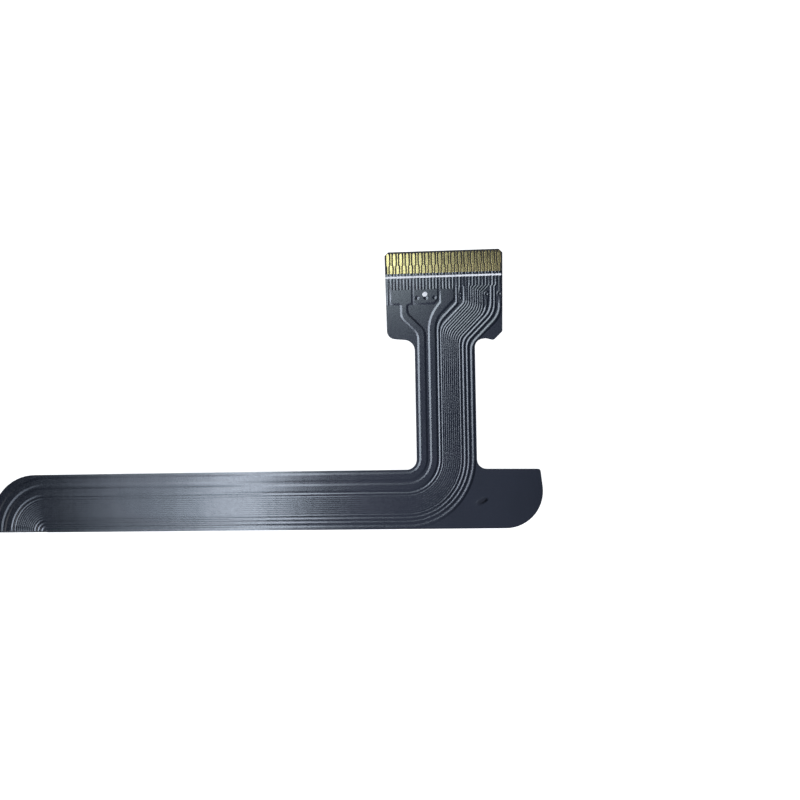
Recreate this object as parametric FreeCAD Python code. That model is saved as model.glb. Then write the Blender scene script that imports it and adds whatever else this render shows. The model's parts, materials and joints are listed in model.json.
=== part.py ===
import FreeCAD, Part
import math
import os

# Flat flex cable: a flexible printed circuit with a 35-way contact tail at the end of a short stem,
# a long strip, and a far end whose short leg is folded back under the strip. All in millimetres.
# While it is drawn, x = 0 is the centre line of the contact tail, y = 0 is the lower edge of the
# strip and z = 0 is the surface that the cable lies on. Every piece is moved to the part's own
# origin, the bottom centre of its box, when it is written.

# Contact tail
contact_count = 35
contact_pitch = 0.30
pad_width = 0.26
neck_width = 0.12
finger_tip_setback = 0.13
pad_step_setback = 1.27
pad_step_length = 0.10
pad_tip_taper = 0.16
bare_length = 2.01
stub_width = 0.14

# Outline of the films
tab_height = 8.15
tab_foot_width = 10.54
tab_corner_cut = 0.33
tab_foot_radius = 0.75
left_shoulder_drop = 0.26
stem_length = 11.73
stem_top_radius = 1.00
stem_foot_left_radius = 0.95
stem_foot_right_radius = 0.87
lobe_reach = 8.46
lobe_top_drop = 0.08
lobe_lean = 0.605
lobe_tip_radius = 0.25
lobe_radius = 3.37
far_corner_radius = 4.15
strip_reach = 43.33

# Worn right foot of the tab: a cut corner, a small bulge and a small hollow
worn_cut = 0.67
worn_bulge_inset = 0.82
worn_bulge_drop = 0.13
worn_hollow_inset = 1.52
worn_hollow_rise = 0.07
worn_bulge_radius = 0.35
worn_hollow_radius = 0.60
worn_stem_radius = 0.75
worn_corner_radius = 0.15

# Band of conductors, from the inside of the bends to the outside
band_inner_margin = 0.33
band_outer_margin = 0.13
strip_inner_margin = 0.28
strip_outer_margin = 0.08
supply_width = 0.65
supply_gap = 0.34
return_width = 0.64
return_gap = 0.17
guard_width = 0.15
guard_gap = 0.13
first_fine_contact = 24
fine_count = 9
fine_width = 0.10
fine_gap = 0.0825
fine_end_gap = 0.10
crossed_width = 0.14
crossed_gap = 0.18
outer_one_width = 0.18
outer_one_gap = 0.17
outer_two_width = 0.17
outer_two_gap = 0.24
outer_three_width = 0.22
stem_bend_inner_radius = 1.28

# Where the conductors turn inside the tab, as heights above the tab's shoulder or drops from its
# top edge
stub_end_drop = 3.45
jog_drop = 3.23
area_foot_drop = 4.81
supply_left_rise = 0.64
supply_right_rise = 0.92
return_left_rise = 2.10
return_right_rise = 1.92
return_knee_drop = 4.66
guard_rise = 1.565
fine_first_rise = 1.15
fine_rise_step = 0.1225
crossed_rise = 0.06
outer_one_rise = -0.07
outer_two_rise = -0.215
outer_three_rise = -0.44
fan_run_offset = 0.10
fan_run_pitch = 0.205
fan_first_radius = 0.70
fan_radius_growth = 0.50
foot_turn_radius = 1.30
wide_turn_radius = 1.20
sharp_turn_radius = 0.30
edge_contact_drop = 4.83
supply_neck_left = 0.85
supply_neck_right = 0.38
neck_radius = 0.25
neck_knee_radius = 0.80
return_left_radius = 3.40
return_right_radius = 1.90
island_corner_cut = 0.42
guard_foot_radius = 1.75
crossed_run_offset = 0.03
outer_one_run_offset = -0.15
outer_two_run_offset = -0.16
outer_three_run_offset = 0.04

# Plated holes that join the two copper layers
via_outer = 0.14
via_bore = 0.09
via_pad = 0.42
small_via_pad = 0.24
dimple_diameter = 0.18
island_via_spacing = 0.80
island_via_drop = 4.25
crossed_via_drop = 4.06
crossed_stub_via_drop = 3.95
crossed_stub_via_spacing = 0.40
crossed_stub_via_offset = 0.04
outer_via_offset = 0.05
teardrop_length = 0.85
jumper_width = 0.15
plane_clearance = 0.12
plane_side_margin = 0.20
plane_foot_rise = 0.75
plane_corner_radius = 0.60
copper_edge_clearance = 0.04

# Thickness of each layer
cover_film_thickness = 0.0125
cover_adhesive_thickness = 0.015
copper_thickness = 0.012
base_thickness = 0.020
plating_thickness = 0.004
ink_thickness = 0.010
tape_thickness = 0.030
stiffener_adhesive_thickness = 0.025

# Stiffener, printed marks and the folded leg
stiffener_length = 5.70
line_drop = 2.25
line_width = 0.16
line_left_inset = 0.07
line_right_inset = 0.13
dot_diameter = 0.45
dot_drop = 3.93
dot_offset = 0.09
leg_length = 2.75
leg_bare_length = 1.40
leg_copper_setback = 0.15
tape_inset = 0.25
tape_left_inset = 0.50
tape_corner_radius = 0.20
ground_strip_width = 0.14
ground_strip_start = 0.45
ground_via_spacing = 0.35

# Levels of the layers above the underside of the laminate
back_adhesive_low = cover_film_thickness
back_copper_low = back_adhesive_low + cover_adhesive_thickness
back_copper_high = back_copper_low + copper_thickness
base_high = back_copper_high + base_thickness
front_copper_high = base_high + copper_thickness
plating_high = front_copper_high + plating_thickness
adhesive_high = base_high + cover_adhesive_thickness
flat_film_high = adhesive_high + cover_film_thickness
ridge_high = flat_film_high + copper_thickness

# The fold: its inner radius is half the tape, and its outside is flush with the strip's edge
fold_inner_radius = tape_thickness / 2
fold_axis_y = fold_inner_radius + ridge_high
fold_axis_z = fold_inner_radius + ridge_high
laminate_z = fold_axis_z + fold_inner_radius
stiffener_thickness = laminate_z - stiffener_adhesive_thickness

# Band positions across the stem: the left edge and the width of each conductor
fine_names = ["signal_conductor_%d" % (first_fine_contact + step) for step in range(fine_count)]
band_plan = [
    ("supply_conductor", supply_width, supply_gap),
    ("return_conductor", return_width, return_gap),
    ("signal_conductor_22", guard_width, guard_gap),
]
band_plan += [(name, fine_width, fine_gap) for name in fine_names[:-1]]
band_plan += [
    (fine_names[-1], fine_width, fine_end_gap),
    ("signal_conductor_23", crossed_width, crossed_gap),
    ("signal_conductor_33", outer_one_width, outer_one_gap),
    ("signal_conductor_34", outer_two_width, outer_two_gap),
    ("signal_conductor_35", outer_three_width, 0.0),
]
band_width = sum(width + gap for name, width, gap in band_plan)
stem_width = band_inner_margin + band_width + band_outer_margin
strip_width = strip_inner_margin + band_width + strip_outer_margin
stem_left = -stem_width / 2
stem_right = stem_width / 2

shoulder_y = strip_width + stem_length
top_y = shoulder_y + tab_height
tail_width = (contact_count + 1) * contact_pitch
cover_end_y = top_y - bare_length
leg_left = -strip_reach
leg_right = leg_left + strip_width
leg_end_y = fold_axis_y + leg_length
leg_cover_end_y = leg_end_y - leg_bare_length


def band_edges():
    """Left and right edge of each conductor, measured across the stem."""
    edges = {}
    edge = stem_left + band_inner_margin
    for name, width, gap in band_plan:
        edges[name] = (edge, edge + width)
        edge += width + gap
    return edges


band = band_edges()
band_left = stem_left + band_inner_margin


def strip_y(across):
    """Height on the strip of a line that lies at this place across the stem."""
    return strip_width - strip_inner_margin - (across - band_left)


def leg_x(across):
    """Place on the leg of a line that lies at this place across the stem."""
    return leg_left + strip_inner_margin + (across - band_left)


def stem_bend_radius(across):
    """The lines turn from the stem into the strip round one common centre."""
    return stem_bend_inner_radius + (across - band_left)


def leg_bend_radius(across):
    """The lines turn from the strip into the leg round one common centre on the fold."""
    return strip_y(across) - fold_axis_y


def contact_x(number):
    return (number - (contact_count + 1) / 2) * contact_pitch


def vector(x, y, z=0.0):
    return FreeCAD.Vector(x, y, z)


# Flat shapes

def rounded_wire(corners):
    """Closed outline through corners (x, y, radius), each corner rounded to its radius."""
    following = corners[1:] + corners[:1]
    turning = sum(here[0] * after[1] - after[0] * here[1] for here, after in zip(corners, following))
    if turning < 0:
        corners = corners[::-1]
    points = [vector(x, y) for x, y, radius in corners]
    count = len(points)
    halves = []
    reaches = []
    for index, (x, y, radius) in enumerate(corners):
        back = points[index - 1] - points[index]
        ahead = points[(index + 1) % count] - points[index]
        half_angle = back.getAngle(ahead) / 2
        straight = half_angle > math.pi / 2 - 1e-3
        halves.append(half_angle)
        reaches.append(0 if radius <= 0 or straight else radius / math.tan(half_angle))
    joints = []
    for index in range(count):
        back = points[index - 1] - points[index]
        ahead = points[(index + 1) % count] - points[index]
        reach = reaches[index]
        if reach <= 0:
            joints.append((points[index], None, points[index]))
            continue
        room_behind = back.Length * reach / (reach + reaches[index - 1])
        room_ahead = ahead.Length * reach / (reach + reaches[(index + 1) % count])
        reach = min(reach, 0.998 * room_behind, 0.998 * room_ahead)
        radius = reach * math.tan(halves[index])
        back.normalize()
        ahead.normalize()
        inward = back + ahead
        inward.normalize()
        middle = points[index] + inward * (radius / math.sin(halves[index]) - radius)
        joints.append((points[index] + back * reach, middle, points[index] + ahead * reach))
    edges = []
    for index in range(count):
        start, middle, end = joints[index]
        if middle is not None:
            edges.append(Part.Arc(start, middle, end).toShape())
        next_start = joints[(index + 1) % count][0]
        if (next_start - end).Length > 1e-6:
            edges.append(Part.LineSegment(end, next_start).toShape())
    return Part.Wire(edges)


def rounded_face(corners):
    return Part.Face(rounded_wire(corners))


def box_face(x_low, y_low, x_high, y_high):
    corners = [(x_low, y_low, 0), (x_high, y_low, 0), (x_high, y_high, 0), (x_low, y_high, 0)]
    return rounded_face(corners)


def disc_face(x, y, diameter):
    circle = Part.Circle(vector(x, y), vector(0, 0, 1), diameter / 2)
    return Part.Face(Part.Wire([circle.toShape()]))


def side_of_path(path, offset):
    """Corners of a line beside the path, offset to its left, with the same turning centres."""
    corners = []
    for index, (x, y, radius) in enumerate(path):
        here = vector(x, y)
        before = vector(*path[max(index - 1, 0)][:2])
        after = vector(*path[min(index + 1, len(path) - 1)][:2])
        arrive = (here - before) if index > 0 else (after - here)
        leave = (after - here) if index < len(path) - 1 else (here - before)
        arrive.normalize()
        leave.normalize()
        normal_in = vector(-arrive.y, arrive.x)
        normal_out = vector(-leave.y, leave.x)
        shift = (normal_in + normal_out) * (offset / (1 + normal_in.dot(normal_out)))
        turn = math.copysign(1, arrive.cross(leave).z)
        inner = 0 < index < len(path) - 1
        side_radius = max(radius - turn * offset, 0) if inner else 0
        corners.append((x + shift.x, y + shift.y, side_radius))
    return corners


def ribbon_face(path, width):
    """A conductor of even width along a path of corners (x, y, radius)."""
    left = side_of_path(path, width / 2)
    right = side_of_path(path, -width / 2)
    return rounded_face(left + right[::-1])


def merge(faces):
    """One flat shape from overlapping faces."""
    return faces[0].multiFuse(faces[1:]).removeSplitter().Faces[0]


# Solids from flat shapes

def upper_slab(face, low, high):
    """The stretch of a layer that lies in the visible plane, between two levels."""
    placed = face.copy()
    placed.translate(vector(0, 0, laminate_z + low))
    return placed.extrude(vector(0, 0, high - low))


def leg_slab(face, low, high):
    """The stretch of a layer that lies upside down in the folded leg."""
    placed = face.copy()
    placed.translate(vector(0, 0, fold_axis_z - fold_inner_radius - high))
    return placed.extrude(vector(0, 0, high - low))


def fold_slab(x_low, x_high, low, high):
    """The half turn of a layer round the fold."""
    inner = fold_inner_radius + low
    outer = fold_inner_radius + high

    def on_arc(radius, angle):
        y = fold_axis_y - radius * math.sin(angle)
        z = fold_axis_z + radius * math.cos(angle)
        return FreeCAD.Vector(x_low, y, z)

    def half_turn(radius):
        points = [on_arc(radius, angle) for angle in (0, math.pi / 2, math.pi)]
        return Part.Arc(*points).toShape()

    ends = [Part.LineSegment(on_arc(inner, angle), on_arc(outer, angle)).toShape()
            for angle in (0, math.pi)]
    wire = Part.Wire(Part.__sortEdges__([half_turn(inner), half_turn(outer)] + ends))
    return Part.Face(wire).extrude(vector(x_high - x_low, 0, 0))


def join(solids):
    """One solid from solids that touch or overlap."""
    return solids[0].multiFuse(solids[1:]).removeSplitter()


# Outline of the laminate

def laminate_outline(top_edge_y):
    """The visible plane of the films, up to a line across the tab."""
    tail_half = tail_width / 2
    foot_half = tab_foot_width / 2
    lean = (tail_half - foot_half) / tab_height
    half_at_top = tail_half - lean * (top_y - top_edge_y)
    if top_edge_y > top_y - tab_corner_cut:
        top = [
            (tail_half - lean * tab_corner_cut, top_y - tab_corner_cut, 0),
            (tail_half - tab_corner_cut, top_y, 0),
            (-tail_half + tab_corner_cut, top_y, 0),
            (-tail_half + lean * tab_corner_cut, top_y - tab_corner_cut, 0),
        ]
    else:
        top = [(half_at_top, top_edge_y, 0), (-half_at_top, top_edge_y, 0)]
    left_side = [
        (-foot_half, shoulder_y + left_shoulder_drop, tab_foot_radius),
        (stem_left, shoulder_y, stem_top_radius),
        (stem_left, strip_width, stem_foot_left_radius),
        (leg_left, strip_width, far_corner_radius),
        (leg_left, fold_axis_y, 0),
        (leg_right, fold_axis_y, 0),
        (leg_right, 0, 0),
    ]
    right_side = [
        (lobe_reach + lobe_lean, 0, lobe_radius),
        (lobe_reach, strip_width - lobe_top_drop, lobe_tip_radius),
        (stem_right, strip_width, stem_foot_right_radius),
        (stem_right, shoulder_y - worn_hollow_rise, worn_stem_radius),
        (foot_half - worn_hollow_inset, shoulder_y + worn_hollow_rise, worn_hollow_radius),
        (foot_half - worn_bulge_inset, shoulder_y - worn_bulge_drop, worn_bulge_radius),
        (foot_half, shoulder_y + worn_cut, worn_corner_radius),
    ]
    return rounded_face(top + left_side + right_side)


# Contact fingers

def finger_corners(number):
    """Odd contacts are wide in the front row, even contacts in the rear row."""
    x = contact_x(number)
    tip_y = top_y - finger_tip_setback
    step_y = top_y - pad_step_setback
    wide = pad_width / 2
    narrow = neck_width / 2
    front, rear = (wide, narrow) if number % 2 else (narrow, wide)
    right = [
        (x + rear, cover_end_y - stub_width, 0),
        (x + rear, step_y - pad_step_length / 2, 0),
        (x + front, step_y + pad_step_length / 2, 0),
        (x + front, tip_y - pad_tip_taper, 0),
        (x + narrow, tip_y, 0),
    ]
    left = [(2 * x - px, py, radius) for px, py, radius in right]
    return right + left[::-1]


def finger_face(number):
    return rounded_face(finger_corners(number))


def stub_face(number, end_y):
    """The straight piece of track that leads from a contact in under the cover film."""
    x = contact_x(number)
    return box_face(x - stub_width / 2, end_y, x + stub_width / 2, cover_end_y)


def contact_face(number, end_y):
    return merge([finger_face(number), stub_face(number, end_y)])


def contact_faces(first, last, area_top):
    """The contacts that run side by side into one area."""
    return [contact_face(number, area_top - stub_width) for number in range(first, last + 1)]


# Conductors in the visible plane

def band_tail(across):
    """Path of one line from the stem round into the strip and along it to the fold."""
    return [
        (across, strip_y(across), stem_bend_radius(across)),
        (leg_x(across), strip_y(across), leg_bend_radius(across)),
        (leg_x(across), fold_axis_y - fold_inner_radius, 0),
    ]


def jogged_head(number, run_x):
    """From a contact straight down, then slanting over to the line's run inside the tab."""
    x = contact_x(number)
    jog_y = top_y - jog_drop
    slant = abs(run_x - x)
    if slant < stub_width / 2:
        return [(run_x, cover_end_y, 0)]
    return [(x, cover_end_y, 0), (x, jog_y, 0), (run_x, jog_y - slant, 0)]


def single_trace(name, run_x, rise, head, foot_radius=foot_turn_radius, knee_radius=None):
    """A narrow conductor: its head, a run down the tab, a diagonal across it, then the band."""
    left, right = band[name]
    across = (left + right) / 2
    foot_y = shoulder_y + rise
    knee_y = foot_y + run_x - across
    if knee_radius is None:
        knee_radius = fan_first_radius + fan_radius_growth * (run_x - fan_run_x(0))
    path = head + [(run_x, knee_y, knee_radius), (across, foot_y, foot_radius)]
    return ribbon_face(path + band_tail(across), right - left)


def fan_run_x(index):
    """Vertical run of a fine conductor inside the tab."""
    return contact_x(first_fine_contact) + fan_run_offset + index * fan_run_pitch


def wide_conductor(name, left_side, right_side):
    """A wide conductor between two boundaries that end in the band."""
    left, right = band[name]
    inner = left_side + band_tail(left)
    outer = right_side + band_tail(right)
    return rounded_face(inner + outer[::-1])


def supply_face():
    """Contacts 2 to 8 run into one area, which narrows and leads into the band."""
    left, right = band["supply_conductor"]
    area_left = contact_x(2) - contact_pitch / 2
    area_right = contact_x(8) + stub_width / 2
    stub_end = top_y - stub_end_drop
    foot = top_y - area_foot_drop
    inner_x = contact_x(2) + supply_neck_left
    outer_x = contact_x(8) - supply_neck_right
    left_foot = shoulder_y + supply_left_rise
    right_foot = shoulder_y + supply_right_rise
    left_side = [
        (area_left, stub_end, 0),
        (area_left, foot, 0),
        (inner_x, foot, neck_radius),
        (inner_x, left_foot + left - inner_x, neck_knee_radius),
        (left, left_foot, wide_turn_radius),
    ]
    right_side = [
        (area_right, stub_end, 0),
        (area_right, foot, 0),
        (outer_x, foot, neck_radius),
        (outer_x, right_foot + right - outer_x, neck_knee_radius),
        (right, right_foot, wide_turn_radius),
    ]
    area = wide_conductor("supply_conductor", left_side, right_side)
    return merge([area] + contact_faces(2, 8, stub_end))


def return_face():
    """Contacts 17 to 21 run into one area, which bends across the tab into the band."""
    left, right = band["return_conductor"]
    area_left = contact_x(17) - stub_width / 4
    area_right = contact_x(21) + stub_width / 2
    stub_end = top_y - stub_end_drop
    right_foot = shoulder_y + return_right_rise
    left_side = [
        (area_left, stub_end, 0),
        (area_left, top_y - return_knee_drop, sharp_turn_radius),
        (left, shoulder_y + return_left_rise, return_left_radius),
    ]
    right_side = [
        (area_right, stub_end, 0),
        (area_right, right_foot + area_right - right, sharp_turn_radius),
        (right, right_foot, return_right_radius),
    ]
    area = wide_conductor("return_conductor", left_side, right_side)
    return merge([area] + contact_faces(17, 21, stub_end))


def island_face():
    """Contacts 9 to 16 share one copper island, joined to the ground plane behind it."""
    left = contact_x(9) - stub_width / 2
    right = contact_x(16) + stub_width / 2
    stub_end = top_y - stub_end_drop
    foot = top_y - area_foot_drop
    area = rounded_face([
        (left, stub_end, 0),
        (left, foot, 0),
        (right - island_corner_cut, foot, sharp_turn_radius),
        (right, foot + island_corner_cut, sharp_turn_radius),
        (right, stub_end, 0),
    ])
    return merge([area] + contact_faces(9, 16, stub_end))


def crossed_stub_face():
    """Contact 23 ends in two plated holes, because its line crosses behind the fine ones."""
    x, first_y = crossed_stub_vias()[0]
    last_y = crossed_stub_vias()[1][1]
    link_top = top_y - stub_end_drop + stub_width
    link = box_face(x - jumper_width / 2, last_y, x + jumper_width / 2, link_top)
    pads = [disc_face(x, y, small_via_pad) for y in (first_y, last_y)]
    return merge([contact_face(23, top_y - stub_end_drop), link] + pads)


def edge_contact_face():
    """Contact 1 has a short line of its own down the left edge of the tab."""
    x = contact_x(1)
    line_top = top_y - stub_end_drop + stub_width
    line = box_face(x - fine_width, top_y - edge_contact_drop, x, line_top)
    return merge([contact_face(1, top_y - stub_end_drop), line])


def crossed_face():
    """Line 23 starts again at its own plated hole, beyond the fine lines."""
    x, y = crossed_via()
    run_x = x - crossed_run_offset
    line = single_trace("signal_conductor_23", run_x, crossed_rise, [(run_x, y, 0)])
    return merge([line, disc_face(x, y, via_pad), teardrop_face(x, y, run_x)])


def teardrop_face(x, y, run_x):
    """Taper from a round pad down to its line."""
    half_pad = via_pad / 2
    half_line = crossed_width / 2
    foot_y = y - teardrop_length
    return rounded_face([
        (x - half_pad, y, 0),
        (run_x - half_line, foot_y, 0),
        (run_x + half_line, foot_y, 0),
        (x + half_pad, y, 0),
    ])


def fine_face(index):
    number = first_fine_contact + index
    rise = fine_first_rise - index * fine_rise_step
    run_x = fan_run_x(index)
    line = single_trace(fine_names[index], run_x, rise, jogged_head(number, run_x))
    return merge([line, contact_face(number, top_y - jog_drop)])


def guard_face():
    run_x = contact_x(22)
    line = single_trace("signal_conductor_22", run_x, guard_rise, jogged_head(22, run_x),
                        guard_foot_radius, sharp_turn_radius)
    return merge([line, contact_face(22, top_y - jog_drop)])


def outer_face(number, run_offset, rise, via=None):
    name = "signal_conductor_%d" % number
    run_x = contact_x(number) + run_offset
    line = single_trace(name, run_x, rise, jogged_head(number, run_x))
    shapes = [line, contact_face(number, top_y - jog_drop)]
    if via is not None:
        shapes.append(disc_face(via[0], via[1], via_pad))
    return merge(shapes)


# Plated holes

def island_vias():
    middle = (contact_x(9) + contact_x(16)) / 2
    return [(middle + step * island_via_spacing, top_y - island_via_drop) for step in (-1, 0, 1)]


def crossed_stub_vias():
    x = contact_x(23) - crossed_stub_via_offset
    y = top_y - crossed_stub_via_drop
    return [(x, y), (x, y - crossed_stub_via_spacing)]


def crossed_via():
    return (contact_x(31), top_y - crossed_via_drop)


def outer_via():
    return (contact_x(35) - outer_via_offset, top_y - crossed_via_drop)


def ground_strip_x():
    """The ground strip of the leg lies in the gap between the two wide conductors."""
    middle = (band["supply_conductor"][1] + band["return_conductor"][0]) / 2
    return leg_x(middle)


def leg_vias():
    y = fold_axis_y + ground_strip_start + via_outer
    return [(ground_strip_x(), y), (ground_strip_x(), y + ground_via_spacing)]


upper_vias = island_vias() + crossed_stub_vias() + [crossed_via(), outer_via()]


def drilled(solid, slab, places, low, high):
    """The solid with the barrels of the plated holes taken out."""
    return solid.cut([slab(disc_face(x, y, via_outer), low, high) for x, y in places])


def via_barrels():
    barrels = []
    for slab, places in ((upper_slab, upper_vias), (leg_slab, leg_vias())):
        for x, y in places:
            outer = slab(disc_face(x, y, via_outer), back_copper_low, front_copper_high)
            bore = slab(disc_face(x, y, via_bore), back_copper_low, front_copper_high)
            barrels.append(outer.cut(bore))
    return Part.Compound(barrels)


# Front copper

def front_copper_faces():
    faces = {
        "edge_contact_01": edge_contact_face(),
        "supply_conductor": supply_face(),
        "ground_island": island_face(),
        "return_conductor": return_face(),
        "signal_conductor_22": guard_face(),
        "contact_23_stub": crossed_stub_face(),
        "signal_conductor_23": crossed_face(),
        "signal_conductor_33": outer_face(33, outer_one_run_offset, outer_one_rise),
        "signal_conductor_34": outer_face(34, outer_two_run_offset, outer_two_rise),
        "signal_conductor_35": outer_face(35, outer_three_run_offset, outer_three_rise, outer_via()),
    }
    for index in range(fine_count):
        faces[fine_names[index]] = fine_face(index)
    room = copper_room()
    return {name: face.common(room).Faces[0] for name, face in faces.items()}


def copper_room():
    """Where copper may lie: clear of the cut edges, and up to the start of the fold."""
    inside = laminate_outline(top_y).makeOffset2D(-copper_edge_clearance)
    crossing = box_face(leg_left + copper_edge_clearance, fold_axis_y,
                        leg_right - copper_edge_clearance, fold_axis_y + far_corner_radius / 4)
    return merge([inside, crossing])


def leg_conductor_span(name):
    left, right = band[name]
    return leg_x(left), leg_x(right)


def front_copper(faces):
    """Each conductor as one solid: visible plane, half turn round the fold and folded leg."""
    copper_end = leg_end_y - leg_copper_setback
    solids = {}
    for name, face in faces.items():
        pieces = [upper_slab(face, base_high, front_copper_high)]
        if name in band:
            left, right = leg_conductor_span(name)
            pieces.append(fold_slab(left, right, base_high, front_copper_high))
            pieces.append(leg_slab(box_face(left, fold_axis_y, right, copper_end),
                                   base_high, front_copper_high))
        solid = join(pieces) if len(pieces) > 1 else pieces[0]
        solids[name] = drilled(solid, upper_slab, upper_vias, base_high, front_copper_high)
    strip = leg_slab(ground_strip_face(), base_high, front_copper_high)
    solids["leg_ground_strip"] = drilled(strip, leg_slab, leg_vias(), base_high, front_copper_high)
    return {name: solid.Solids[0] for name, solid in solids.items()}


def ground_strip_face():
    middle = ground_strip_x()
    half = ground_strip_width / 2
    start = fold_axis_y + ground_strip_start
    strip = box_face(middle - half, start, middle + half, leg_end_y - leg_copper_setback)
    return merge([strip] + [disc_face(x, y, small_via_pad) for x, y in leg_vias()])


# Back copper

def jumper_face(grow=0.0):
    (first_x, first_y), (_, second_y) = crossed_stub_vias()
    far_x, far_y = crossed_via()
    middle_y = (first_y + second_y) / 2
    half = jumper_width / 2 + grow
    bar = box_face(first_x - half, middle_y - half, far_x + half, middle_y + half)
    post = box_face(first_x - half, second_y, first_x + half, first_y)
    pads = [disc_face(x, y, small_via_pad + 2 * grow)
            for x, y in ((first_x, first_y), (first_x, second_y), (far_x, far_y))]
    return merge([bar, post] + pads)


def plane_face():
    """Ground plane behind the band and the foot of the tab, with a window for the jumper."""
    first = band_left
    last = first + band_width
    middle = (first + last) / 2
    path = [(middle, shoulder_y + plane_foot_rise, 0)] + band_tail(middle)
    band_part = ribbon_face(path, last - first)
    half = tab_foot_width / 2 - plane_side_margin
    foot_y = shoulder_y + plane_foot_rise
    tab_part = rounded_face([
        (-half, foot_y, plane_corner_radius),
        (half, foot_y, plane_corner_radius),
        (half, top_y - stub_end_drop, 0),
        (-half, top_y - stub_end_drop, 0),
    ])
    plane = merge([band_part, tab_part])
    return plane.cut(jumper_face(plane_clearance)).common(copper_room()).Faces[0]


def back_plane():
    first = leg_x(band_left)
    last = first + band_width
    pieces = [
        upper_slab(plane_face(), back_copper_low, back_copper_high),
        fold_slab(first, last, back_copper_low, back_copper_high),
        leg_slab(box_face(first, fold_axis_y, last, leg_cover_end_y),
                 back_copper_low, back_copper_high),
    ]
    solid = drilled(join(pieces), upper_slab, upper_vias, back_copper_low, back_copper_high)
    return drilled(solid, leg_slab, leg_vias(), back_copper_low, back_copper_high).Solids[0]


def back_jumper():
    solid = upper_slab(jumper_face(), back_copper_low, back_copper_high)
    return drilled(solid, upper_slab, upper_vias, back_copper_low, back_copper_high).Solids[0]


# Films

def leg_face(end_y):
    return box_face(leg_left, fold_axis_y, leg_right, end_y)


def folded_film(upper_face, leg_end, low, high):
    """A full-width film: visible plane, half turn and folded leg."""
    return join([
        upper_slab(upper_face, low, high),
        fold_slab(leg_left, leg_right, low, high),
        leg_slab(leg_face(leg_end), low, high),
    ])


def base_film():
    film = folded_film(laminate_outline(top_y), leg_end_y, back_copper_high, base_high)
    film = drilled(film, upper_slab, upper_vias, back_copper_high, base_high)
    return drilled(film, leg_slab, leg_vias(), back_copper_high, base_high).Solids[0]


def back_cover_film():
    return folded_film(laminate_outline(top_y), leg_end_y, 0, back_adhesive_low).Solids[0]


def back_cover_adhesive(back_copper):
    """Fills in round the back copper and covers it."""
    layer = folded_film(laminate_outline(top_y), leg_end_y, back_adhesive_low, back_copper_high)
    layer = layer.cut([solid.copy() for solid in back_copper])
    layer = drilled(layer, upper_slab, upper_vias, back_copper_low, back_copper_high)
    return drilled(layer, leg_slab, leg_vias(), back_copper_low, back_copper_high).Solids[0]


def top_cover_adhesive(copper):
    """Fills in round the front copper and covers it thinly."""
    layer = folded_film(laminate_outline(cover_end_y), leg_cover_end_y, base_high, adhesive_high)
    layer = layer.cut([solid.copy() for solid in copper.values()])
    return layer.cut(via_barrels().Solids).Solids[0]


def ridges(faces):
    """The cover film stands up over each conductor.

    The fold is pressed smooth, so the ridges stop on both sides of it.
    """
    blank = laminate_outline(cover_end_y)
    fold = box_face(leg_left, 0, leg_right, fold_axis_y)
    dimples = [disc_face(x, y, dimple_diameter) for x, y in upper_vias]
    raised = []
    for name, face in faces.items():
        covered = face.common(blank).cut(dimples + [fold])
        raised += [upper_slab(part, adhesive_high, ridge_high) for part in covered.Faces]
        if name in band:
            left, right = leg_conductor_span(name)
            leg_ridge = box_face(left, fold_axis_y, right, leg_cover_end_y)
            raised.append(leg_slab(leg_ridge, adhesive_high, ridge_high))
    return raised


def top_cover_film(faces):
    film = folded_film(laminate_outline(cover_end_y), leg_cover_end_y,
                       adhesive_high, flat_film_high)
    return film.multiFuse(ridges(faces)).removeSplitter().Solids[0]


# Plating, stiffener, tape and print

def tail_plating(faces):
    """Gold on the bare stretch of each of the contacts."""
    window = box_face(-tail_width, cover_end_y, tail_width, top_y)
    skins = []
    for number in range(1, contact_count + 1):
        bare = finger_face(number).common(window).Faces[0]
        skins.append(upper_slab(bare, front_copper_high, plating_high))
    return Part.Compound(skins)


def leg_plating():
    """Gold on the bare stretch of each conductor at the folded end."""
    end = leg_end_y - leg_copper_setback
    spans = [leg_conductor_span(name) for name, width, gap in band_plan]
    half = ground_strip_width / 2
    spans.append((ground_strip_x() - half, ground_strip_x() + half))
    skins = [leg_slab(box_face(left, leg_cover_end_y, right, end), front_copper_high, plating_high)
             for left, right in spans]
    return Part.Compound(skins)


def stiffener_outline():
    """The same outline as the tail, over the stiffener's length."""
    window = box_face(-tail_width, top_y - stiffener_length, tail_width, top_y + tab_corner_cut)
    return laminate_outline(top_y).common(window).Faces[0]


def tail_stiffener():
    return stiffener_outline().extrude(vector(0, 0, stiffener_thickness))


def stiffener_adhesive():
    face = stiffener_outline()
    face.translate(vector(0, 0, stiffener_thickness))
    return face.extrude(vector(0, 0, stiffener_adhesive_thickness))


def fold_tape():
    """Double-sided tape that holds the folded leg flat against the underside of the strip."""
    left = leg_left + tape_left_inset
    right = leg_right - tape_inset
    face = rounded_face([
        (left, fold_axis_y + tape_inset, tape_corner_radius),
        (right, fold_axis_y + tape_inset, tape_corner_radius),
        (right, leg_end_y - tape_inset, tape_corner_radius),
        (left, leg_end_y - tape_inset, tape_corner_radius),
    ])
    face.translate(vector(0, 0, fold_axis_z - fold_inner_radius))
    return face.extrude(vector(0, 0, tape_thickness))


def printed_line(cover):
    """Insertion line across the tail: the ink fills in between the ridges of the film."""
    half = tail_width / 2
    face = box_face(-half + line_left_inset, top_y - line_drop - line_width,
                    half - line_right_inset, top_y - line_drop)
    ink = upper_slab(face, flat_film_high, ridge_high + ink_thickness)
    return ink.cut(cover).Solids[0]


def printed_dot():
    """Mark on the ground island, beside the middle plated hole."""
    via_x = island_vias()[1][0]
    face = disc_face(via_x - dot_offset, top_y - dot_drop, dot_diameter)
    return upper_slab(face, ridge_high, ridge_high + ink_thickness)


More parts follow.
